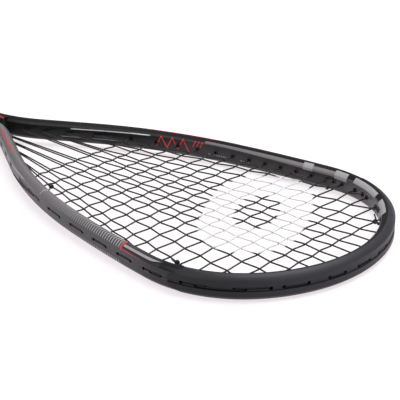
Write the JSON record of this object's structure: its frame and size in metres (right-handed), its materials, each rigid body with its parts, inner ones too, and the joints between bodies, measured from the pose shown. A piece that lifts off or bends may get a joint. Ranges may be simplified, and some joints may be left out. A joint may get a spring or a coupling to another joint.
{
  "type": "squash racket",
  "caption": "Squash racket with a teardrop hoop running into an open throat, woven string bed, tip guard, grommets and a wrapped handle.",
  "frame": {"origin": "centre of the flat end face of the butt cap", "axes": "+X along the shaft towards the tip of the head, +Y across the head to the left, +Z normal to the string bed"},
  "size_m": [0.686, 0.214, 0.0332],
  "materials": {
    "frame_paint": "satin metallic lacquer over carbon composite",
    "bumper_nylon": "matte moulded nylon",
    "grommet_nylon": "matte moulded nylon",
    "string": "smooth black multifilament string",
    "pallet_foam": "closed-cell foam",
    "cap_plastic": "matte moulded plastic",
    "staple_steel": "zinc-plated wire",
    "grip_polyurethane": "tacky perforated polyurethane wrap",
    "tape_vinyl": "vinyl tape",
    "collar_rubber": "moulded rubber"
  },
  "bodies": {
    "root": {"frame": "frame_paint", "bumper_guard": "bumper_nylon", "side_grommets_right": "grommet_nylon", "side_grommets_left": "grommet_nylon", "throat_grommets": "grommet_nylon", "main_string": "string", "cross_string": "string", "main_string_knots": "string", "cross_string_knots": "string", "handle_pallet_left": "pallet_foam", "handle_pallet_right": "pallet_foam", "butt_cap": "cap_plastic", "butt_cap_staples": "staple_steel", "grip_wrap": "grip_polyurethane", "finishing_tape": "tape_vinyl", "grip_collar": "collar_rubber"}
  },
  "joints": []
}
